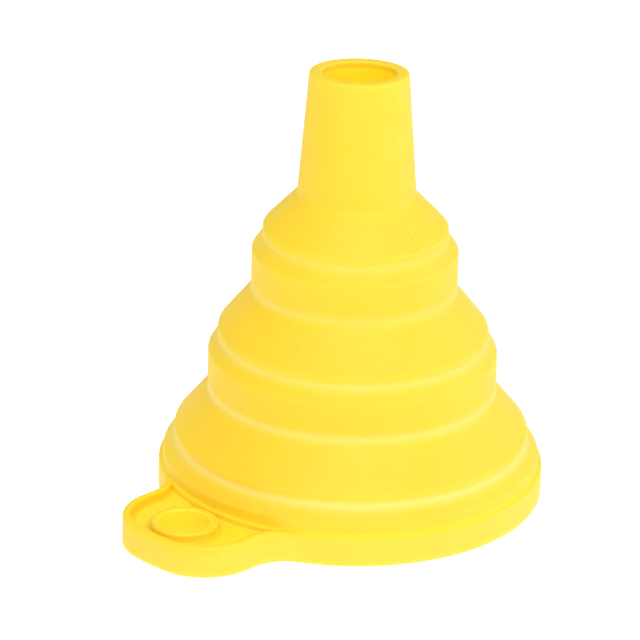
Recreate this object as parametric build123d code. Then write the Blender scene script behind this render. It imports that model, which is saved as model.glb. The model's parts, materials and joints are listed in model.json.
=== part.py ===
from build123d import *
import os
from math import atan2, cos, hypot, sin, sqrt

# A collapsible funnel standing on its mouth, spout up. The real one is a single soft
# moulding, so its wall is turned as one profile and then divided at its fold lines into
# the zones that move against each other. Millimetres. The origin is on the funnel's axis
# in the plane of the mouth, +Z runs up to the spout's tip and the hang tab lies along -X.

# Rim and mouth
RIM_RADIUS = 37.5
RIM_HEIGHT = 6.2
RIM_FOOT_ROUND = 0.8
RIM_TOP_ROUND = 0.4
MOUTH_BORE_RADIUS = 35.05
MOUTH_BAND_FOOT_RADIUS = 36.85

# Fold stages, from the spout down to the mouth. A stage is a cone that folds inside out,
# a short upright skirt, a fold line, a sloping step and an upright band.
STAGES = ("inner", "middle", "mouth")
FOLD_LINE_RADII = (17.95, 26.25, 34.5)
BAND_RADII = (19.95, 28.1, 36.65)
FIRST_FOLD_HEIGHT = 53.2
STAGE_DROP = 20.9
SKIRT_HEIGHT = 1.8
STEP_DROP = 2.95
BAND_DEPTH = 11.2
CONE_EDGE_ROUND = 0.9
BAND_EDGE_ROUND = 0.6
BAND_FOOT_ROUND = 2.5

# Wall thickness
CONE_WALL = 1.5
FOLD_WALL = 0.95
STEP_INSIDE_DROP = 1.0
FOLD_INSIDE_DROP = 0.45
SKIRT_INSIDE_RISE = 0.35

# Height of a fold ring below and above its fold line
RING_BELOW = 0.7
RING_ABOVE = 0.5

# A cone turns about the middle of its wall, this far below the fold line outside
FOLD_CENTRE_DROP = 0.4

# Spout
SPOUT_TIP_HEIGHT = 86.0
SPOUT_TIP_RADIUS = 9.55
SPOUT_BASE_HEIGHT = 61.9
SPOUT_BASE_RADIUS = 11.45
SPOUT_BORE_RADIUS = 7.1
SPOUT_BORE_LENGTH = 9.0
SPOUT_BASE_ROUND = 1.5
SPOUT_TIP_ROUND = 0.4

# Hang tab, measured outwards from the funnel's axis. Its face is sunk inside a border.
TAB_HALF_WIDTH = 14.5
TAB_REACH = 54.2
TAB_END_RADIUS = 40.0
TAB_CORNER_RADIUS = 11.4
TAB_ROOT_RADIUS = 8.0
TAB_HEIGHT = 6.5
TAB_FACE_HEIGHT = 4.8
TAB_BORDER_WIDTH = 1.6
TAB_TOP_ROUND = 0.9
TAB_FOOT_ROUND = 0.8
HANG_HOLE_REACH = 44.9
HANG_HOLE_RADIUS = 4.9
EYELET_RADIUS = 6.5
EYELET_HEIGHT = 6.6
EYELET_ROUND = 0.4

fold_heights = [FIRST_FOLD_HEIGHT - STAGE_DROP * stage for stage in range(len(STAGES))]
cone_feet = [height + SKIRT_HEIGHT for height in fold_heights]
band_tops = [height - STEP_DROP for height in fold_heights]
band_feet = [height - BAND_DEPTH for height in fold_heights[:-1]] + [RIM_HEIGHT]
band_foot_radii = BAND_RADII[:-1] + (MOUTH_BAND_FOOT_RADIUS,)
# A cone rises from its own edge to the foot of whatever stands on it.
cone_top_radii = (SPOUT_BASE_RADIUS,) + band_foot_radii[:-1]
cone_top_heights = [SPOUT_BASE_HEIGHT] + band_feet[:-1]


def cone_wall_across(stage):
    """Horizontal thickness of a cone's wall."""
    run = FOLD_LINE_RADII[stage] - cone_top_radii[stage]
    rise = cone_top_heights[stage] - cone_feet[stage]
    return CONE_WALL * hypot(run, rise) / rise


def stage_outside(stage):
    """Outer corners of one stage, from the cone's edge down to the band's foot."""
    return [
        (FOLD_LINE_RADII[stage], cone_feet[stage]),
        (FOLD_LINE_RADII[stage], fold_heights[stage]),
        (BAND_RADII[stage], band_tops[stage]),
        (band_foot_radii[stage], band_feet[stage]),
    ]


def stage_inside(stage):
    """Inner corners of one stage, from the band's inside up to the cone's top."""
    band_wall = cone_wall_across(min(stage + 1, len(STAGES) - 1))
    last = stage == len(STAGES) - 1
    band_inside = MOUTH_BORE_RADIUS if last else BAND_RADII[stage] - band_wall
    fold_inside = FOLD_LINE_RADII[stage] - FOLD_WALL
    skirt_inside = FOLD_LINE_RADII[stage] - CONE_WALL
    top_inside = cone_top_radii[stage] - cone_wall_across(stage)
    run = FOLD_LINE_RADII[stage] - cone_top_radii[stage]
    slope = (cone_top_heights[stage] - cone_feet[stage]) / run
    edge_inside = cone_top_heights[stage] - (skirt_inside - top_inside) * slope
    return [
        (band_inside, band_tops[stage] - STEP_INSIDE_DROP),
        (fold_inside, fold_heights[stage] - FOLD_INSIDE_DROP),
        (skirt_inside, fold_heights[stage] + SKIRT_INSIDE_RISE),
        (skirt_inside, edge_inside),
        (top_inside, cone_top_heights[stage]),
    ]


def rounded(face, corner, radius):
    """The face with one of its corners rounded."""
    return fillet(face.vertices().sort_by_distance(corner)[0], radius)


def funnel_wall():
    """The whole turned wall, from the mouth to the spout's tip."""
    spout_tip = (SPOUT_TIP_RADIUS, SPOUT_TIP_HEIGHT)
    spout_base = (SPOUT_BASE_RADIUS, SPOUT_BASE_HEIGHT)
    bore_tip = (SPOUT_BORE_RADIUS, SPOUT_TIP_HEIGHT)
    rim_top = (RIM_RADIUS, RIM_HEIGHT)
    rim_foot = (RIM_RADIUS, 0)
    corners = [spout_tip, spout_base]
    for stage in range(len(STAGES)):
        corners += stage_outside(stage)
    corners += [rim_top, rim_foot, (MOUTH_BORE_RADIUS, 0)]
    for stage in reversed(range(len(STAGES))):
        corners += stage_inside(stage)
    corners += [(SPOUT_BORE_RADIUS, SPOUT_TIP_HEIGHT - SPOUT_BORE_LENGTH), bore_tip]
    section = make_face(Polyline(*corners, close=True))
    for stage in range(len(STAGES)):
        cone_edge, _, band_edge, band_foot = stage_outside(stage)
        section = rounded(section, cone_edge, CONE_EDGE_ROUND)
        section = rounded(section, band_edge, BAND_EDGE_ROUND)
        if stage < len(STAGES) - 1:
            section = rounded(section, band_foot, BAND_FOOT_ROUND)
    for corner, radius in (
        (spout_base, SPOUT_BASE_ROUND),
        (spout_tip, SPOUT_TIP_ROUND),
        (bore_tip, SPOUT_TIP_ROUND),
        (rim_top, RIM_TOP_ROUND),
        (rim_foot, RIM_FOOT_ROUND),
    ):
        section = rounded(section, corner, radius)
    return revolve(Plane.XZ * section, Axis.Z)


def zone(wall, low, high):
    """The ring of wall between two heights."""
    slab = Box(4 * RIM_RADIUS, 4 * RIM_RADIUS, high - low)
    return wall & Pos(0, 0, (low + high) / 2) * slab


def funnel_zones(wall):
    """The turned zones by name, from the mouth up to the spout."""
    zones = {"mouth_rim": zone(wall, 0, RIM_HEIGHT)}
    cone_names = {"inner": "shoulder_cone", "middle": "middle_cone", "mouth": "lower_cone"}
    for stage in reversed(range(len(STAGES))):
        name = STAGES[stage]
        ring_foot = fold_heights[stage] - RING_BELOW
        ring_top = fold_heights[stage] + RING_ABOVE
        zones[name + "_band"] = zone(wall, band_feet[stage], ring_foot)
        zones[name + "_hinge"] = zone(wall, ring_foot, ring_top)
        zones[cone_names[name]] = zone(wall, ring_top, cone_top_heights[stage])
    zones["spout"] = zone(wall, SPOUT_BASE_HEIGHT, SPOUT_TIP_HEIGHT)
    return zones


def tab_outline():
    """The rim's circle with the tab growing out of it, the tab along +X."""
    end_centre = TAB_REACH - TAB_END_RADIUS
    width = 2 * TAB_HALF_WIDTH
    straight = Pos(end_centre / 2, 0) * Rectangle(end_centre, width)
    strip = Pos(end_centre + TAB_REACH / 2, 0) * Rectangle(TAB_REACH, width)
    rounded_end = Pos(end_centre, 0) * Circle(TAB_END_RADIUS) & strip
    outline = Circle(RIM_RADIUS) + straight + rounded_end
    shoulder_reach = end_centre + sqrt(TAB_END_RADIUS**2 - TAB_HALF_WIDTH**2)
    root_reach = sqrt(RIM_RADIUS**2 - TAB_HALF_WIDTH**2)
    for side in (-TAB_HALF_WIDTH, TAB_HALF_WIDTH):
        outline = rounded(outline, (shoulder_reach, side), TAB_CORNER_RADIUS)
        outline = rounded(outline, (root_reach, side), TAB_ROOT_RADIUS)
    return outline


def hang_tab(rim):
    """The tab beyond the rim, with its sunk face and a hole for its eyelet."""
    outline = tab_outline()
    plate = extrude(outline, TAB_HEIGHT)
    plate = fillet(plate.edges().group_by(Axis.Z)[-1], TAB_TOP_ROUND)
    plate = fillet(plate.edges().group_by(Axis.Z)[0], TAB_FOOT_ROUND)
    # The root curves meet the rim at this angle on either side of the tab.
    root_centre_side = TAB_HALF_WIDTH + TAB_ROOT_RADIUS
    root_centre_reach = sqrt((RIM_RADIUS + TAB_ROOT_RADIUS) ** 2 - root_centre_side**2)
    root_angle = atan2(root_centre_side, root_centre_reach)
    far = 2 * TAB_REACH
    edge = (far * cos(root_angle), far * sin(root_angle))
    wedge = extrude(make_face(Polyline((0, 0), edge, (edge[0], -edge[1]), close=True)), TAB_HEIGHT)
    tab = plate & wedge
    # The face is sunk right up to the rim, whose rounded top edge runs on across the tab.
    sunk = Pos(0, 0, TAB_FACE_HEIGHT) * extrude(offset(outline, -TAB_BORDER_WIDTH), TAB_HEIGHT)
    above_rim = Pos(0, 0, RIM_HEIGHT - RIM_TOP_ROUND + TAB_HEIGHT / 2)
    tab -= sunk
    tab -= above_rim * Cylinder(RIM_RADIUS, TAB_HEIGHT)
    tab -= Pos(0, 0, TAB_HEIGHT / 2) * Cylinder(MOUTH_BAND_FOOT_RADIUS, 2 * TAB_HEIGHT)
    tab -= Pos(HANG_HOLE_REACH, 0, TAB_HEIGHT / 2) * Cylinder(EYELET_RADIUS, 2 * TAB_HEIGHT)
    return Rot(0, 0, 180) * tab - rim


def tab_eyelet():
    """The collar around the hang hole, standing a little above the tab."""
    ring = make_face(
        Polyline(
            (HANG_HOLE_RADIUS, 0),
            (EYELET_RADIUS, 0),
            (EYELET_RADIUS, EYELET_HEIGHT),
            (HANG_HOLE_RADIUS, EYELET_HEIGHT),
            close=True,
        )
    )
    ring = rounded(ring, (EYELET_RADIUS, EYELET_HEIGHT), EYELET_ROUND)
    ring = rounded(ring, (HANG_HOLE_RADIUS, EYELET_HEIGHT), EYELET_ROUND)
    return Pos(-HANG_HOLE_REACH, 0, 0) * revolve(Plane.XZ * ring, Axis.Z)


nodes = funnel_zones(funnel_wall())
nodes["hang_tab"] = hang_tab(nodes["mouth_rim"])
nodes["tab_eyelet"] = tab_eyelet()

os.makedirs("parts", exist_ok=True)
for name, solid in nodes.items():
    export_step(solid, f"parts/{name}.step")
    print(name, round(solid.volume, 1))

for stage, name in enumerate(STAGES):
    travel = 2 * (cone_top_heights[stage] - fold_heights[stage] - FOLD_CENTRE_DROP)
    print(f"{name} fold line at {fold_heights[stage]:.1f}, travel {travel:.1f}")
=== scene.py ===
import json
import math

import bmesh
import bpy
import numpy as np
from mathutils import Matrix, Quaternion, Vector

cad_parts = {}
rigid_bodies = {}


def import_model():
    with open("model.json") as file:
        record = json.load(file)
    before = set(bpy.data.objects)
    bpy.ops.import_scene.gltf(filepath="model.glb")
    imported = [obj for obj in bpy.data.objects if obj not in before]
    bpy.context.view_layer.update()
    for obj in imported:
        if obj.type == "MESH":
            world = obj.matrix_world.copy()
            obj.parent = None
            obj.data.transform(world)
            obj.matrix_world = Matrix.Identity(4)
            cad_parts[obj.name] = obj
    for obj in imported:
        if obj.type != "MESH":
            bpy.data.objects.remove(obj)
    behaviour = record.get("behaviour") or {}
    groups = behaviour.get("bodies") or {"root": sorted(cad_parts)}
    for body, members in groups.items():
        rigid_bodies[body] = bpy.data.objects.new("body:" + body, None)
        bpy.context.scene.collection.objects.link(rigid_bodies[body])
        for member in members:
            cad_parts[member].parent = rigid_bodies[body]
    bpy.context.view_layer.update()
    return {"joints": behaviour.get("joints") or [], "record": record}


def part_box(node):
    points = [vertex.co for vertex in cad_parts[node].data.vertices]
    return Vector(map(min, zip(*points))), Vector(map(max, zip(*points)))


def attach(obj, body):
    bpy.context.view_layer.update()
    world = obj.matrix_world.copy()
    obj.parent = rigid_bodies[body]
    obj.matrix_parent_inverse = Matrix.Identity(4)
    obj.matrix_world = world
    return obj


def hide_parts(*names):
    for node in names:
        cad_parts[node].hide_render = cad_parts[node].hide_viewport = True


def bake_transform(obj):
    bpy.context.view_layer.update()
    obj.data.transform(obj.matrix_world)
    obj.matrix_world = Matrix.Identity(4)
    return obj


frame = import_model()

MM = 0.001

# ---------------------------------------------------------------- the funnel's section, mm
# Rim and mouth
RIM_RADIUS = 37.5
RIM_HEIGHT = 6.2
RIM_FOOT_ROUND = 0.8
RIM_TOP_ROUND = 0.38
MOUTH_BORE_RADIUS = 35.05
MOUTH_BAND_FOOT_RADIUS = 36.85
GROOVE_ROUND = 0.12

# Stages from the spout down to the mouth: a cone, a skirt, a fold line, a step and a band
STAGES = ("inner", "middle", "mouth")
CONES = ("shoulder_cone", "middle_cone", "lower_cone")
FOLD_LINE_RADII = (17.95, 26.25, 34.5)
BAND_RADII = (19.95, 28.1, 36.65)
FIRST_FOLD_HEIGHT = 53.2
STAGE_DROP = 20.9
SKIRT_HEIGHT = 1.8
STEP_DROP = 2.95
BAND_DEPTH = 11.2
CONE_EDGE_ROUND = 0.9
BAND_EDGE_ROUND = 0.7
BAND_FOOT_ROUND = 2.5
FOLD_ROUND = 0.3

# Wall
CONE_WALL = 1.5
FOLD_WALL = 0.95
STEP_INSIDE_DROP = 1.0
FOLD_INSIDE_DROP = 0.45
SKIRT_INSIDE_RISE = 0.35
INSIDE_ROUND = 0.5

# Spout
SPOUT_TIP_HEIGHT = 86.0
SPOUT_TIP_RADIUS = 9.55
SPOUT_BASE_HEIGHT = 61.9
SPOUT_BASE_RADIUS = 11.45
SPOUT_BORE_RADIUS = 7.1
SPOUT_BORE_LENGTH = 9.0
SPOUT_BASE_ROUND = 1.5
SPOUT_TIP_ROUND = 0.4
SPOUT_BORE_ROUND = 6.0

# Hang tab, measured outwards from the funnel's axis. Its face is sunk inside a border.
TAB_HALF_WIDTH = 14.5
TAB_REACH = 54.2
TAB_END_RADIUS = 40.0
TAB_CORNER_RADIUS = 11.4
TAB_ROOT_RADIUS = 8.0
TAB_HEIGHT = 6.5
TAB_FACE_HEIGHT = 4.8
TAB_BORDER_WIDTH = 1.6
TAB_TOP_ROUND = 0.9
TAB_INNER_ROUND = 0.4
TAB_FACE_ROUND = 0.5
TAB_FOOT_ROUND = 0.8
# Where the recess shallows out beside the rim, along the tab's edge, and its slope there
RECESS_END = (1.5, 7.0)
RECESS_SLOPE = 3.5
# Distances from the rim, along the tab's edge, over which its top round grows and its top rises
TOP_ROUND_GROWS = (0, 6)
TOP_RISES = (0, 10)
HANG_HOLE_REACH = 44.9
HANG_HOLE_RADIUS = 4.9
EYELET_RADIUS = 6.5
EYELET_HEIGHT = 6.6
EYELET_ROUND = 0.45
EYELET_FOOT_ROUND = 0.35
EYELET_FOOT_DEPTH = 1
EYELET_HIDDEN_ROUND = 0.1

# ---------------------------------------------------------------- mesh fineness
TURN_STEPS = 240
ARC_STEP = 0.14
LINE_STEP = 0.7

TAB_STEP = 0.5
QUARTERS = (0.25, 0.5, 0.75)
# Points round each of the tab's rounds, from its foot to its face
TAB_FOOT_POINTS = 7
TAB_TOP_POINTS = 10
TAB_INNER_POINTS = 6
TAB_FACE_POINTS = 7
# Distances in from the sunk face's edge, mm, close together where it meets the rim
FACE_STEPS = (0.8, 1.55, 1.66, 1.77, 1.88, 2.0, 2.15, 2.4)
# The most of the way to the hole that those take, and the even steps over the rest of it
FACE_STEPS_SHARE = 0.8
FACE_EVEN_STEPS = 8
TAB_HIDDEN_RADIUS = 35.3
# Where the lines across the tab's faces meet, inside the hang hole
TAB_LINES_REACH = 40.5
EYELET_OVERLAP = 0.05
EYELET_STEPS = 96
# Height in the hang hole where the collar's section starts and ends
EYELET_START_HEIGHT = 3
# Keeps the tab's flat faces just clear of the rim's
SKIN_GAP = 0.02
MERGE_DISTANCE = 0.001
SHARP_ANGLE = math.radians(50)
TINY = 1e-6

# Mould parting line on the spout and shoulder, a quarter turn either side of the tab
BEADED = ("shoulder_cone", "spout")
PARTING_TURNS = (math.pi / 2, -math.pi / 2)
PARTING_HEIGHT = 0.17
PARTING_WIDTH = 0.34
PARTING_FOOT = (54.4, 55.6)
PARTING_TOP = (85.3, 85.8)
# Degrees beside the line where the mesh has points
PARTING_STEPS = (-1.6, -1.25, -0.9, -0.6, -0.3, 0.3, 0.6, 0.9, 1.25)

# The soft spout's lean: how far, towards which turn, and the heights over which it bends
SPOUT_LEAN = math.radians(4.2)
SPOUT_LEAN_TURN = math.radians(44.5)
SPOUT_BEND = (61.0, 68.0)

# Slow waves that put the soft wall out of round: size in mm, waves round the wall, phase, and
# the height over which a wave turns by a radian
WAVES = ((0.05, 2, 0.7, 30), (0.03, 3, 1.9, -17), (0.012, 7, 0, 9))

# A folded cone's edge: how far it stands over its fold line, and how gently it rolls over
LIP_HEIGHT = 0.3
LIP_ROLL = 0.1

# Distance from a cut between two zones over which light spreads less inside the wall, mm
CUT_REACH = 1.2

# ---------------------------------------------------------------- camera and light
VIEW_AZIMUTH = -45.5
VIEW_ELEVATION = 23.08
VIEW_DISTANCE = 1.0555
VIEW_LENS = 306.0
VIEW_SIDE = -0.00649
VIEW_HEIGHT = 0.03506
VIEW_ROLL = 1.25
SENSOR_WIDTH = 36
SEEN_FROM = 0.05
SEEN_TO = 50
# The sky's strength on its dim side and its bright side, and the bright side's direction
SKY_STRENGTHS = (0.3, 1.0)
SKY_BRIGHT_SIDE = (0, 35)
FLOOR_REACH = 4
FLOOR_COLOUR = 0.6
FLOOR_GLOW = 0.66
FLOOR_ROUGHNESS = 0.9
FLOOR_GLOSS_LEVEL = 0.1
LIGHT_DISTANCE = 1.2
# (name, azimuth, elevation, size, power). The sheen only adds gloss.
LIGHTS = (("key", -40, 57, 0.9, 5), ("sheen", 45, 5, 0.9, 6))

# Colours, linear
SILICONE = (0.99, 0.68, 0.008)
LIT_SILICONE = (1.0, 0.77, 0.008)
# Painted light: a paler colour for light through the thin wall at the creases, and for sheen and
# floor bounce light on the side walls
PAINTED_LIGHT_SILICONE = (1.0, 0.75, 0.15)
# Light that comes through the wall, on its inner side and where it is thin
GLOW_COLOUR = (1.0, 0.72, 0.01)
LIT_GLOW = 0.1
PALE_GLOW = 0.04
# How much light comes through the tab's sunk face, its collar, and the groove over the rim,
# where 1 is as much as on the inner skins, and how wide the groove's band of light is, mm
FACE_LIT = 0.7
EYELET_LIT = 0.6
GROOVE_LIT = 0.6
GROOVE_LIT_SPREAD = 0.6
# How much of the light goes into the silicone, and how far each colour reaches in it, mm
TRANSLUCENCY = 1.0
LIGHT_REACH = (1.8, 1.5, 0.4)
# Surface: its gloss, and the colour of its darker mottling as a share of the silicone's
REFRACTION = 1.43
GLOSS_LEVEL = 0.9
ROUGHNESS = (0.54, 0.64)
MOTTLE = (0.985, 0.965, 0.85)
# (scale, detail) of the noise in the mottling, the roughness and the grain
MOTTLE_NOISE = (28, 3)
ROUGHNESS_NOISE = (160, 4)
GRAIN_NOISE = (2600, 2)
NOISE_RANGE = (0.3, 0.7)
# The grain's height in metres, and its strength on each kind of silicone
GRAIN_HEIGHT = 0.00004
GRAIN = {"silicone": 0.35, "silicone_cone": 0.3, "silicone_hinge": 0.25}


# ================================================================ section
def cone_wall_across(stage):
    """Horizontal thickness of a cone's wall."""
    run = FOLD_LINE_RADII[stage] - cone_top_radii[stage]
    rise = cone_top_heights[stage] - cone_feet[stage]
    return CONE_WALL * math.hypot(run, rise) / rise


fold_heights = [FIRST_FOLD_HEIGHT - STAGE_DROP * stage for stage in range(len(STAGES))]
cone_feet = [height + SKIRT_HEIGHT for height in fold_heights]
band_tops = [height - STEP_DROP for height in fold_heights]
band_feet = [height - BAND_DEPTH for height in fold_heights[:-1]] + [RIM_HEIGHT]
band_foot_radii = BAND_RADII[:-1] + (MOUTH_BAND_FOOT_RADIUS,)
cone_top_radii = (SPOUT_BASE_RADIUS,) + band_foot_radii[:-1]
cone_top_heights = [SPOUT_BASE_HEIGHT] + band_feet[:-1]


def outside_corners():
    """(radius, height, round) of the outer skin, from the mouth's inner edge up to the tip."""
    corners = [
        (MOUTH_BORE_RADIUS, 0, 0),
        (RIM_RADIUS, 0, RIM_FOOT_ROUND),
        (RIM_RADIUS, RIM_HEIGHT, RIM_TOP_ROUND),
    ]
    for stage in reversed(range(len(STAGES))):
        last = stage == len(STAGES) - 1
        corners += [
            (band_foot_radii[stage], band_feet[stage], GROOVE_ROUND if last else BAND_FOOT_ROUND),
            (BAND_RADII[stage], band_tops[stage], BAND_EDGE_ROUND),
            (FOLD_LINE_RADII[stage], fold_heights[stage], FOLD_ROUND),
            (FOLD_LINE_RADII[stage], cone_feet[stage], CONE_EDGE_ROUND),
        ]
    return corners + [
        (SPOUT_BASE_RADIUS, SPOUT_BASE_HEIGHT, SPOUT_BASE_ROUND),
        (SPOUT_TIP_RADIUS, SPOUT_TIP_HEIGHT, SPOUT_TIP_ROUND),
        (SPOUT_BORE_RADIUS, SPOUT_TIP_HEIGHT, SPOUT_TIP_ROUND),
        (SPOUT_BORE_RADIUS, SPOUT_TIP_HEIGHT - 2 * SPOUT_TIP_ROUND, 0),
    ]


def inside_corners():
    """(radius, height, round) of the inner skin, from the mouth up into the spout's bore."""
    corners = [(MOUTH_BORE_RADIUS, 0, 0)]
    for stage in reversed(range(len(STAGES))):
        last = stage == len(STAGES) - 1
        wall = cone_wall_across(min(stage + 1, len(STAGES) - 1))
        band_inside = MOUTH_BORE_RADIUS if last else BAND_RADII[stage] - wall
        skirt_inside = FOLD_LINE_RADII[stage] - CONE_WALL
        top_inside = cone_top_radii[stage] - cone_wall_across(stage)
        run = FOLD_LINE_RADII[stage] - cone_top_radii[stage]
        slope = (cone_top_heights[stage] - cone_feet[stage]) / run
        edge_inside = cone_top_heights[stage] - (skirt_inside - top_inside) * slope
        corners += [
            (band_inside, band_tops[stage] - STEP_INSIDE_DROP, INSIDE_ROUND),
            (FOLD_LINE_RADII[stage] - FOLD_WALL, fold_heights[stage] - FOLD_INSIDE_DROP, 0),
            (skirt_inside, fold_heights[stage] + SKIRT_INSIDE_RISE, 0),
            (skirt_inside, edge_inside, INSIDE_ROUND / 2),
            (top_inside, cone_top_heights[stage], INSIDE_ROUND),
        ]
    bore_foot = SPOUT_TIP_HEIGHT - SPOUT_BORE_LENGTH
    return corners + [
        (SPOUT_BORE_RADIUS, bore_foot, SPOUT_BORE_ROUND),
        (SPOUT_BORE_RADIUS, SPOUT_TIP_HEIGHT - 2 * SPOUT_TIP_ROUND, 0),
    ]


def spaced(start, end, step):
    """Points from start towards end, at most step apart, without the end."""
    count = max(1, math.ceil(np.linalg.norm(end - start) / step))
    return [start + (end - start) * i / count for i in range(count)]


def rounded_path(corners):
    """A dense line through the corners, with each corner's round as an arc."""
    points = [np.array(corner[:2], float) for corner in corners]
    path = []
    here = points[0]
    for before, corner, after, spec in zip(points, points[1:], points[2:], corners[1:]):
        if spec[2] == 0:
            path += spaced(here, corner, LINE_STEP)
            here = corner
            continue
        back = (before - corner) / np.linalg.norm(before - corner)
        on = (after - corner) / np.linalg.norm(after - corner)
        half = math.acos(float(np.clip(back @ on, -1, 1))) / 2
        reach = spec[2] / math.tan(half)
        start, end = corner + back * reach, corner + on * reach
        centre = corner + (back + on) / np.linalg.norm(back + on) * spec[2] / math.sin(half)
        sweep = math.pi - 2 * half
        count = max(3, math.ceil(sweep * spec[2] / ARC_STEP))
        path += spaced(here, start, LINE_STEP)
        for i in range(count):
            turn = sweep * i / count
            share = np.array([math.sin(sweep - turn), math.sin(turn)]) / math.sin(sweep)
            path.append(centre + share[0] * (start - centre) + share[1] * (end - centre))
        here = end
    path += spaced(here, points[-1], LINE_STEP)
    path.append(points[-1])
    return np.array(path)


def cut_at(path, planes):
    """The path with a point exactly on each plane, and the places of those points in it."""
    places = []
    for plane in planes:
        top = int(np.argmax(path[:, 1]))
        below = int(np.max(np.nonzero(path[: top + 1, 1] < plane + TINY)[0]))
        if abs(path[below, 1] - plane) > TINY:
            share = (plane - path[below, 1]) / (path[below + 1, 1] - path[below, 1])
            point = path[below] + share * (path[below + 1] - path[below])
            below += 1
            path = np.insert(path, below, point, axis=0)
        places.append(below)
    return path, [0] + places + [len(path) - 1]


# How far outside and above a band's foot its pale line lies
PALE_FOOT_OUT = 0.2
PALE_FOOT_UP = 1.1
# (radius, height, strength, spread) of each line painted paler, a painted highlight for light that
# passes through the thin silicone at a crease
PAINTED_LIGHT_LINES = (
    (FOLD_LINE_RADII[2], fold_heights[2], 1.0, 0.8),
    (BAND_RADII[1] + PALE_FOOT_OUT, band_feet[1] + PALE_FOOT_UP, 0.9, 0.85),
    (FOLD_LINE_RADII[1], fold_heights[1], 0.65, 0.75),
    (BAND_RADII[0] + PALE_FOOT_OUT, band_feet[0] + PALE_FOOT_UP, 0.5, 0.85),
    (FOLD_LINE_RADII[0], fold_heights[0], 0.4, 0.75),
)
# How much paler the rim's and the tab's side walls are painted: painted sheen and bounce light from
# the floor
RIM_PAINTED_SHEEN = 0.2


# ================================================================ pieces
record = frame["record"]
body_of = {node: body for body, nodes in record["behaviour"]["bodies"].items() for node in nodes}
slot_of = {part["node"]: part["material_slot"] for part in record["subparts"]}
TURNED = (
    "mouth_rim",
    "mouth_band",
    "mouth_hinge",
    "lower_cone",
    "middle_band",
    "middle_hinge",
    "middle_cone",
    "inner_band",
    "inner_hinge",
    "shoulder_cone",
    "spout",
)
planes = [round(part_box(node)[0].z / MM, 3) for node in TURNED[1:]]
outside, outside_places = cut_at(rounded_path(outside_corners()), planes)
inside, inside_places = cut_at(rounded_path(inside_corners()), planes)


def smooth(value, low, high):
    """0 below low, 1 above high, and an even ramp between."""
    share = np.clip((value - low) / (high - low), 0, 1)
    return share * share * (3 - 2 * share)


def waver(turn, height):
    """How far the soft wall stands out of round, mm."""
    waves = sum(
        size * np.sin(count * turn + phase + height / pitch) for size, count, phase, pitch in WAVES
    )
    return smooth(height, RIM_HEIGHT, 2 * RIM_HEIGHT) * waves


def leaning(points):
    """The points with the part of them that is in the spout leaning over."""
    turn = SPOUT_LEAN * smooth(points[:, 2], *SPOUT_BEND)
    towards = np.array([math.cos(SPOUT_LEAN_TURN), math.sin(SPOUT_LEAN_TURN)])
    along = points[:, :2] @ towards
    above = points[:, 2] - SPOUT_BASE_HEIGHT
    shift = along * (np.cos(turn) - 1) + above * np.sin(turn)
    drop = above * (1 - np.cos(turn)) + along * np.sin(turn)
    return points + np.column_stack([shift[:, None] * towards, -drop])


def path_normals(path):
    """The outward normal at each point of a path that runs up the outside."""
    along = np.gradient(path, axis=0)
    along /= np.linalg.norm(along, axis=1)[:, None]
    return np.stack([along[:, 1], -along[:, 0]], axis=1)


def parting_bead(turn, point):
    """Height of the mould's parting line at a turn, on a point of the outside, mm."""
    radius, height = point
    rise = smooth(height, *PARTING_FOOT) * (1 - smooth(height, *PARTING_TOP))
    bead = 0
    for line in PARTING_TURNS:
        away = np.abs((turn - line + math.pi) % (2 * math.pi) - math.pi) * radius
        bead = bead + np.clip(1 - (away / PARTING_WIDTH) ** 2, 0, 1) ** 2
    return PARTING_HEIGHT * rise * bead


def painted_light_share(points):
    """How pale painted light makes each point of the section, from 0 to 1: light through the thin
    wall at the crease lines, and painted sheen low on the rim.
    """
    pale = RIM_PAINTED_SHEEN * (points[:, 1] < RIM_HEIGHT - RIM_TOP_ROUND)
    for radius, height, strength, spread in PAINTED_LIGHT_LINES:
        away = np.hypot(points[:, 0] - radius, points[:, 1] - height)
        pale = np.maximum(pale, strength * np.exp(-((away / spread) ** 2)))
    return pale


def lit_through(section, outer_count):
    """How much light comes through the wall at each point: all of it inside, some in the groove."""
    away = np.hypot(section[:, 0] - MOUTH_BAND_FOOT_RADIUS, section[:, 1] - RIM_HEIGHT)
    lit = GROOVE_LIT * np.exp(-((away / GROOVE_LIT_SPREAD) ** 2))
    lit[outer_count:] = 1
    return lit


def near_cut(heights, low, high):
    """1 on a cut between two zones, down to 0 where light spreads freely inside the wall."""
    cuts = [plane for plane in (low, high) if 0 < plane < SPOUT_TIP_HEIGHT]
    away = np.min([np.abs(heights - plane) for plane in cuts], axis=0)
    return 1 - smooth(away, 0, CUT_REACH)


def add_piece(node, points, faces, attributes):
    """A mesh object in millimetres, with a value at each point for each attribute."""
    mesh = bpy.data.meshes.new(node + "_moulding")
    mesh.from_pydata((points * MM).tolist(), [], faces)
    attributes["glow"] = LIT_GLOW * attributes["lit"] + PALE_GLOW * attributes["pale"]
    for name, values in attributes.items():
        mesh.attributes.new(name, "FLOAT", "POINT").data.foreach_set("value", values)
    edit = bmesh.new()
    edit.from_mesh(mesh)
    bmesh.ops.remove_doubles(edit, verts=edit.verts, dist=MERGE_DISTANCE * MM)
    bmesh.ops.recalc_face_normals(edit, faces=edit.faces)
    edit.to_mesh(mesh)
    edit.free()
    mesh.shade_smooth()
    mesh.set_sharp_from_angle(angle=SHARP_ANGLE)
    piece = bpy.data.objects.new(node + "_moulding", mesh)
    bpy.context.scene.collection.objects.link(piece)
    mesh.materials.append(materials[slot_of[node]])
    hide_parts(node)
    return piece


def ring_faces(rings, steps):
    """Quads over a closed tube of rings that each have the same number of points."""
    faces = []
    for ring in range(rings):
        here, there = ring * steps, (ring + 1) % rings * steps
        for step in range(steps):
            after = (step + 1) % steps
            faces.append((here + step, here + after, there + after, there + step))
    return faces


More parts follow.
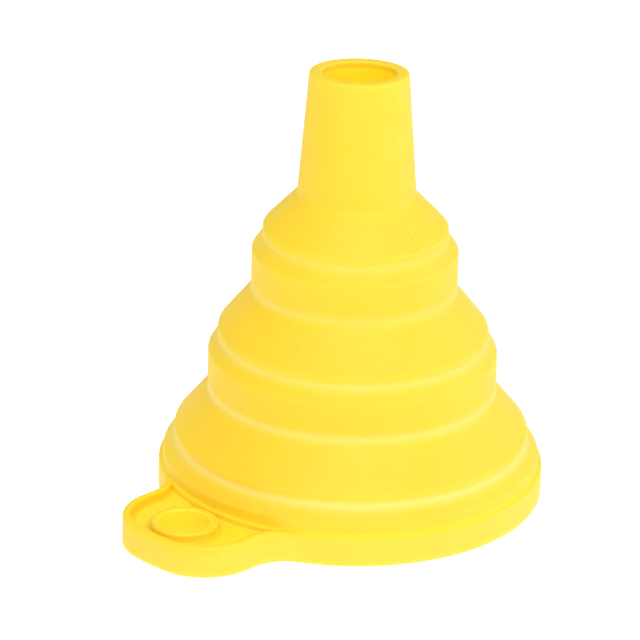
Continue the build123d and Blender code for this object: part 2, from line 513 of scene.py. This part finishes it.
def add_turned(index):
    """One zone of the turned wall."""
    node = TURNED[index]
    outer = outside[outside_places[index] : outside_places[index + 1] + 1]
    inner = inside[inside_places[index] : inside_places[index + 1] + 1]
    normals = path_normals(outside)[outside_places[index] : outside_places[index + 1] + 1]
    if index == len(TURNED) - 1:
        inner = inner[:-1]
    if index == 0:
        inner = inner[1:]
    section = np.concatenate([outer, inner[::-1]])
    turns = np.arange(TURN_STEPS) * 2 * math.pi / TURN_STEPS
    beaded = node in BEADED
    if beaded:
        beside = np.radians(PARTING_STEPS)
        extra = [line % (2 * math.pi) + beside for line in PARTING_TURNS]
        turns = np.unique(np.round(np.concatenate([turns, *extra]), 6))
    points = []
    for place, (radius, height) in enumerate(section):
        reach = radius + waver(turns, height)
        level = np.full(len(turns), float(height))
        if beaded and place < len(outer):
            bead = parting_bead(turns, (radius, height))
            reach = reach + bead * normals[place, 0]
            level = level + bead * normals[place, 1]
        points.append(np.stack([reach * np.cos(turns), reach * np.sin(turns), level], axis=1))
    low, high = ([0] + planes + [SPOUT_TIP_HEIGHT])[index : index + 2]
    cut = np.repeat(near_cut(section[:, 1], low, high), len(turns))
    if node == "mouth_rim":
        from_tab = (np.abs(turns - math.pi) - tab_side()[2]) * RIM_RADIUS
        cut = np.maximum(cut, np.tile(1 - smooth(from_tab, 0, CUT_REACH), len(section)))
    attributes = {
        # Painted light: paler lines at the thin creases, and painted sheen low on the rim
        "pale": np.repeat(painted_light_share(section), len(turns)),
        "cut": cut,
        "lit": np.repeat(lit_through(section, len(outer)), len(turns)),
    }
    faces = ring_faces(len(section), len(turns))
    piece = add_piece(node, leaning(np.concatenate(points)), faces, attributes)
    if node in CONES:
        weights = fold_weights(node, outer, inner)
        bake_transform(piece)
    else:
        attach(piece, body_of[node])


def fold_of(node):
    """The joint that turns a cone inside out."""
    return next(joint for joint in frame["joints"] if joint["parent"] == body_of[node])


def fold_weights(node, outer, inner):
    """How much of the fold's travel each point of a cone's section takes, from 0 to 1.

    At full travel the outer skin hangs from the fold line, a mirror image of itself, and
    every inner point keeps its depth below the skin, so the wall never crosses itself.
    """
    travel = fold_of(node)["range_m"][1] / MM
    foot, top = outer[0, 1], outer[-1, 1]
    skirt_inside, top_radius = inner[0, 0], outer[-1, 0]
    lip = foot + LIP_HEIGHT
    start = skirt_inside + LIP_HEIGHT
    share = np.clip((start - outer[:, 0]) / (start - top_radius), 0, 1)
    hang = share**2 / (share + LIP_ROLL) * (1 + LIP_ROLL)
    folded = lip - (lip - (top - travel)) * hang
    skirt = outer[:, 0] > start
    folded[skirt] = foot + LIP_HEIGHT * (1 - np.exp(-(outer[skirt, 1] - foot) / LIP_HEIGHT))
    outer_weights = np.clip((outer[:, 1] - folded) / travel, 0, 1)
    outer_weights[0], outer_weights[-1] = 0, 1
    beyond = outer[:, 0] < skirt_inside + 2 * LIP_HEIGHT
    radii, weights = outer[beyond, 0][::-1], outer_weights[beyond][::-1]
    inner_weights = np.interp(inner[:, 0], radii, weights)
    edge = np.interp(skirt_inside, radii, weights)
    upright = inner[:, 0] > skirt_inside - TINY
    upright_top = inner[upright, 1].max()
    inner_weights[upright] = edge * (inner[upright, 1] - foot) / (upright_top - foot)
    inner_weights[-1] = 1
    return np.concatenate([outer_weights, inner_weights[::-1]])


# ================================================================ hang tab and eyelet
def arc(centre, radius, start, end):
    """Points round part of a circle and the normals that point away from its centre."""
    count = max(2, math.ceil(abs(end - start) * radius / TAB_STEP))
    turns = np.linspace(start, end, count + 1)
    away = np.stack([np.cos(turns), np.sin(turns)], axis=1)
    return np.array(centre) + radius * away, away


def quarter_turn(count):
    """That many angles, evenly spaced over a quarter turn."""
    return np.linspace(0, math.pi / 2, count)


def tab_side():
    """Half of the tab's free edge, from the rim to the middle of its end, with outward normals."""
    end_centre = TAB_REACH - TAB_END_RADIUS
    root_side = TAB_HALF_WIDTH + TAB_ROOT_RADIUS
    root_reach = math.sqrt((RIM_RADIUS + TAB_ROOT_RADIUS) ** 2 - root_side**2)
    corner_side = TAB_HALF_WIDTH - TAB_CORNER_RADIUS
    corner_gap = TAB_END_RADIUS - TAB_CORNER_RADIUS
    corner_reach = end_centre + math.sqrt(corner_gap**2 - corner_side**2)
    end_turn = math.asin(corner_side / corner_gap)
    root_turn = math.atan2(root_side, root_reach)
    root, root_away = arc(
        (root_reach, root_side), TAB_ROOT_RADIUS, root_turn - math.pi, -math.pi / 2
    )
    corner, corner_away = arc(
        (corner_reach, corner_side), TAB_CORNER_RADIUS, math.pi / 2, end_turn
    )
    end, end_away = arc((end_centre, 0), TAB_END_RADIUS, end_turn, 0)
    points = np.concatenate([root, corner, end[1:]])
    normals = np.concatenate([-root_away, corner_away, end_away[1:]])
    return points, normals, root_turn


def add_tab():
    """The tab with its sunk face and rounded border, closed inside the funnel's wall."""
    side, side_normals, root_turn = tab_side()
    mirror = np.array([1, -1])
    free = np.concatenate([side, side[-2::-1] * mirror])
    free_normals = np.concatenate([side_normals, side_normals[-2::-1] * mirror])
    hidden, _ = arc((0, 0), TAB_HIDDEN_RADIUS, -root_turn, root_turn)
    outline = np.concatenate([free, hidden])
    normals = np.concatenate([free_normals, np.zeros_like(hidden)])
    lengths = np.concatenate([[0], np.cumsum(np.linalg.norm(np.diff(free, axis=0), axis=1))])
    from_root = np.minimum(lengths, lengths[-1] - lengths)
    from_root = np.concatenate([from_root, np.zeros(len(hidden))])
    grown = smooth(from_root, *TOP_ROUND_GROWS)
    round_top = RIM_TOP_ROUND + (TAB_TOP_ROUND - RIM_TOP_ROUND) * grown
    top = RIM_HEIGHT + SKIN_GAP + (TAB_HEIGHT - RIM_HEIGHT) * smooth(from_root, *TOP_RISES)

    hub = np.array([TAB_LINES_REACH, 0])
    hub_shift = TAB_LINES_REACH - HANG_HOLE_REACH
    hole_radius = EYELET_RADIUS - EYELET_OVERLAP
    rings = []

    def ring(inset, height):
        points = outline - normals * np.broadcast_to(inset, len(outline))[:, None]
        rings.append(np.column_stack([points, np.broadcast_to(height, len(points))]))

    def hole_edge(points):
        away = points - hub
        away /= np.linalg.norm(away, axis=1)[:, None]
        across = away[:, 0] * hub_shift
        reach = np.sqrt(across**2 - hub_shift**2 + hole_radius**2) - across
        return hub + away * reach[:, None]

    def towards_hole(points, share):
        steps = np.broadcast_to(share, len(points))[:, None]
        return points + (hole_edge(points) - points) * steps

    foot_edge = outline - normals * TAB_FOOT_ROUND
    for share in (1, *reversed(QUARTERS)):
        points = towards_hole(foot_edge, share)
        rings.append(np.column_stack([points, np.full(len(points), SKIN_GAP)]))
    for turn in quarter_turn(TAB_FOOT_POINTS):
        inset = TAB_FOOT_ROUND * (1 - math.sin(turn))
        ring(inset, SKIN_GAP + TAB_FOOT_ROUND * (1 - math.cos(turn)))
    for share in QUARTERS:
        ring(0, TAB_FOOT_ROUND + share * (top - round_top - TAB_FOOT_ROUND))
    side_end = len(rings)
    for turn in quarter_turn(TAB_TOP_POINTS):
        ring(round_top * (1 - math.cos(turn)), top - round_top * (1 - math.sin(turn)))
    for turn in quarter_turn(TAB_INNER_POINTS):
        inset = TAB_BORDER_WIDTH - TAB_INNER_ROUND * (1 - math.sin(turn))
        ring(inset, top - TAB_INNER_ROUND * (1 - math.cos(turn)))
    drop = top - TAB_INNER_ROUND - TAB_FACE_HEIGHT - TAB_FACE_ROUND
    shallow = drop * (1 - smooth(from_root, *RECESS_END))
    shallow[len(free) :] = 0
    for turn in quarter_turn(TAB_FACE_POINTS):
        inset = TAB_BORDER_WIDTH + TAB_FACE_ROUND * (1 - math.cos(turn))
        ring(inset, TAB_FACE_HEIGHT + shallow + TAB_FACE_ROUND * (1 - math.sin(turn)))

    face_start = len(rings)
    face_edge = rings[-1][:, :2]
    length = np.linalg.norm(face_edge - hole_edge(face_edge), axis=1)
    near = np.minimum(1, FACE_STEPS_SHARE * length / FACE_STEPS[-1])
    shares = [near * step / length for step in FACE_STEPS]
    reached = shares[-1]
    for step in range(1, FACE_EVEN_STEPS + 1):
        shares.append(reached + (1 - reached) * step / FACE_EVEN_STEPS)
    for share in shares:
        points = towards_hole(face_edge, share)
        gap = np.clip(np.hypot(*points.T) - RIM_RADIUS, 0, TAB_FACE_ROUND)
        sweep = TAB_FACE_ROUND - np.sqrt(TAB_FACE_ROUND**2 - (TAB_FACE_ROUND - gap) ** 2)
        along = np.linalg.norm(points - face_edge, axis=1)
        sweep = np.maximum(sweep, shallow * (1 - smooth(along, 0, RECESS_SLOPE)))
        rings.append(np.column_stack([points, TAB_FACE_HEIGHT + sweep]))
    faces = ring_faces(len(rings), len(outline))
    points = np.concatenate(rings)
    points[:, :2] *= -1
    from_rim = np.hypot(*points[:, :2].T) - RIM_RADIUS
    from_eyelet = np.hypot(points[:, 0] + HANG_HOLE_REACH, points[:, 1]) - EYELET_RADIUS
    attributes = {
        # Painted sheen on the tab's side walls, as on the rim
        "pale": RIM_PAINTED_SHEEN * (np.arange(len(points)) < side_end * len(outline)),
        "cut": 1 - smooth(np.minimum(from_rim, from_eyelet), 0, CUT_REACH),
        "lit": FACE_LIT * (np.arange(len(points)) >= face_start * len(outline)),
    }
    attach(add_piece("hang_tab", points, faces, attributes), body_of["hang_tab"])


def add_eyelet():
    """The collar round the hang hole, with a small sweep where it meets the tab."""
    section = rounded_path(
        [
            (HANG_HOLE_RADIUS, EYELET_START_HEIGHT, 0),
            (HANG_HOLE_RADIUS, EYELET_HEIGHT, EYELET_ROUND),
            (EYELET_RADIUS, EYELET_HEIGHT, EYELET_ROUND),
            (EYELET_RADIUS, TAB_FACE_HEIGHT + SKIN_GAP, EYELET_FOOT_ROUND),
            (EYELET_RADIUS + 2 * EYELET_FOOT_ROUND, TAB_FACE_HEIGHT + SKIN_GAP, 0),
            (EYELET_RADIUS, TAB_FACE_HEIGHT - EYELET_FOOT_DEPTH, 0),
            (EYELET_RADIUS, SKIN_GAP, EYELET_HIDDEN_ROUND),
            (HANG_HOLE_RADIUS, SKIN_GAP, EYELET_ROUND),
            (HANG_HOLE_RADIUS, EYELET_START_HEIGHT, 0),
        ]
    )[:-1]
    turns = np.arange(EYELET_STEPS) * 2 * math.pi / EYELET_STEPS
    radii, heights = np.repeat(section, len(turns), axis=0).T
    across = np.tile(np.cos(turns), len(section))
    beside = np.tile(np.sin(turns), len(section))
    points = np.column_stack([radii * across - HANG_HOLE_REACH, radii * beside, heights])
    middle = (HANG_HOLE_RADIUS + EYELET_RADIUS) / 2
    attributes = {
        "pale": np.zeros(len(points)),
        "cut": (radii > middle) * (1 - smooth(heights - TAB_FACE_HEIGHT, 0, CUT_REACH)),
        "lit": EYELET_LIT * (1 - smooth(radii, HANG_HOLE_RADIUS, middle)),
    }
    faces = ring_faces(len(section), len(turns))
    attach(add_piece("tab_eyelet", points, faces, attributes), body_of["tab_eyelet"])


# ================================================================ silicone
def silicone(name, grain):
    """Matt-satin silicone with painted light: a paler colour on its thin creases, painted sheen on
    its side walls, and a lit colour and glow where light comes through its wall.
    """
    material = bpy.data.materials.new(name)
    material.use_nodes = True
    nodes, links = material.node_tree.nodes, material.node_tree.links
    shader = nodes["Principled BSDF"]
    place = nodes.new("ShaderNodeTexCoord").outputs["Object"]

    def noise(scale, detail):
        node = nodes.new("ShaderNodeTexNoise")
        node.inputs["Scale"].default_value = scale
        node.inputs["Detail"].default_value = detail
        links.new(place, node.inputs["Vector"])
        return node.outputs["Fac"]

    def spread(value, low, high, taken=NOISE_RANGE):
        node = nodes.new("ShaderNodeMapRange")
        node.inputs["From Min"].default_value = taken[0]
        node.inputs["From Max"].default_value = taken[1]
        node.inputs["To Min"].default_value = low
        node.inputs["To Max"].default_value = high
        links.new(value, node.inputs["Value"])
        return node.outputs["Result"]

    def held(name):
        node = nodes.new("ShaderNodeAttribute")
        node.attribute_name = name
        return node.outputs["Fac"]

    def mixed(share, first, second):
        node = nodes.new("ShaderNodeMix")
        node.data_type = "RGBA"
        links.new(share, node.inputs["Factor"])
        for socket, colour in ((node.inputs[6], first), (node.inputs[7], second)):
            if isinstance(colour, tuple):
                socket.default_value = (*colour, 1)
            else:
                links.new(colour, socket)
        return node.outputs[2]

    darker = tuple(part * share for part, share in zip(SILICONE, MOTTLE))
    colour = mixed(spread(noise(*MOTTLE_NOISE), 0, 1), darker, SILICONE)
    # Painted light: paler on the thin creases, where light would pass through the wall, and painted
    # sheen on the rim's and tab's side walls
    colour = mixed(held("pale"), colour, PAINTED_LIGHT_SILICONE)
    colour = mixed(held("lit"), colour, LIT_SILICONE)
    links.new(colour, shader.inputs["Base Color"])
    shader.inputs["Emission Color"].default_value = (*GLOW_COLOUR, 1)
    links.new(held("glow"), shader.inputs["Emission Strength"])

    weight = spread(held("cut"), TRANSLUCENCY, 0, taken=(0, 1))
    links.new(weight, shader.inputs["Subsurface Weight"])
    shader.inputs["Subsurface Radius"].default_value = LIGHT_REACH
    shader.inputs["Subsurface Scale"].default_value = MM

    links.new(spread(noise(*ROUGHNESS_NOISE), *ROUGHNESS), shader.inputs["Roughness"])
    shader.inputs["IOR"].default_value = REFRACTION
    shader.inputs["Specular IOR Level"].default_value = GLOSS_LEVEL

    bump = nodes.new("ShaderNodeBump")
    bump.inputs["Strength"].default_value = grain
    bump.inputs["Distance"].default_value = GRAIN_HEIGHT
    links.new(noise(*GRAIN_NOISE), bump.inputs["Height"])
    links.new(bump.outputs["Normal"], shader.inputs["Normal"])
    return material


materials = {name: silicone(name, grain) for name, grain in GRAIN.items()}

for zone in range(len(TURNED)):
    add_turned(zone)
add_tab()
add_eyelet()

# ================================================================ studio
studio = bpy.context.scene
studio.view_settings.view_transform = "Standard"
studio.view_settings.look = "None"


def add_floor():
    """A wide plain pale floor."""
    mesh = bpy.data.meshes.new("floor")
    reach = FLOOR_REACH
    corners = [(-reach, -reach, 0), (reach, -reach, 0), (reach, reach, 0), (-reach, reach, 0)]
    mesh.from_pydata(corners, [], [(0, 1, 2, 3)])
    floor = bpy.data.objects.new("floor", mesh)
    studio.collection.objects.link(floor)
    material = bpy.data.materials.new("pale_floor")
    material.use_nodes = True
    shader = material.node_tree.nodes["Principled BSDF"]
    shader.inputs["Base Color"].default_value = (FLOOR_COLOUR, FLOOR_COLOUR, FLOOR_COLOUR, 1)
    shader.inputs["Roughness"].default_value = FLOOR_ROUGHNESS
    shader.inputs["Specular IOR Level"].default_value = FLOOR_GLOSS_LEVEL
    shader.inputs["Emission Color"].default_value = (1, 1, 1, 1)
    shader.inputs["Emission Strength"].default_value = FLOOR_GLOW
    mesh.materials.append(material)


def add_light(name, azimuth, elevation, size, power):
    """A soft square light that faces the funnel from that direction."""
    lamp = bpy.data.lights.new(name, "AREA")
    lamp.size = size
    lamp.energy = power
    light = bpy.data.objects.new(name, lamp)
    studio.collection.objects.link(light)
    away = direction(azimuth, elevation)
    light.location = target + away * LIGHT_DISTANCE
    light.rotation_euler = away.to_track_quat("Z", "Y").to_euler()
    light.visible_diffuse = name != "sheen"


def direction(azimuth, elevation):
    """The unit vector towards an azimuth and elevation, in degrees; azimuth 0 is -Y."""
    turn, lift = math.radians(azimuth), math.radians(elevation)
    level = math.cos(lift)
    return Vector((math.sin(turn) * level, -math.cos(turn) * level, math.sin(lift)))


right = direction(VIEW_AZIMUTH + 90, 0)
target = right * VIEW_SIDE + Vector((0, 0, VIEW_HEIGHT))
add_floor()

world = bpy.data.worlds.new("studio")
world.use_nodes = True
sky_nodes, sky_links = world.node_tree.nodes, world.node_tree.links
facing = sky_nodes.new("ShaderNodeVectorMath")
facing.operation = "DOT_PRODUCT"
sky_links.new(sky_nodes.new("ShaderNodeTexCoord").outputs["Generated"], facing.inputs[0])
facing.inputs[1].default_value = direction(*SKY_BRIGHT_SIDE)
strength = sky_nodes.new("ShaderNodeMapRange")
strength.inputs["From Min"].default_value = -1
strength.inputs["To Min"].default_value = SKY_STRENGTHS[0]
strength.inputs["To Max"].default_value = SKY_STRENGTHS[1]
sky_links.new(facing.outputs["Value"], strength.inputs["Value"])
sky_links.new(strength.outputs["Result"], sky_nodes["Background"].inputs["Strength"])
sky_nodes["Background"].inputs["Color"].default_value = (1, 1, 1, 1)
studio.world = world
for light in LIGHTS:
    add_light(*light)

lens = bpy.data.cameras.new("camera")
lens.lens = VIEW_LENS
lens.sensor_width = SENSOR_WIDTH
lens.clip_start = SEEN_FROM
lens.clip_end = SEEN_TO
camera = bpy.data.objects.new("camera", lens)
studio.collection.objects.link(camera)
away = direction(VIEW_AZIMUTH, VIEW_ELEVATION)
camera.location = target + away * VIEW_DISTANCE
roll = Quaternion((0, 0, 1), math.radians(VIEW_ROLL))
camera.rotation_euler = (away.to_track_quat("Z", "Y") @ roll).to_euler()
studio.camera = camera

bpy.context.view_layer.update()
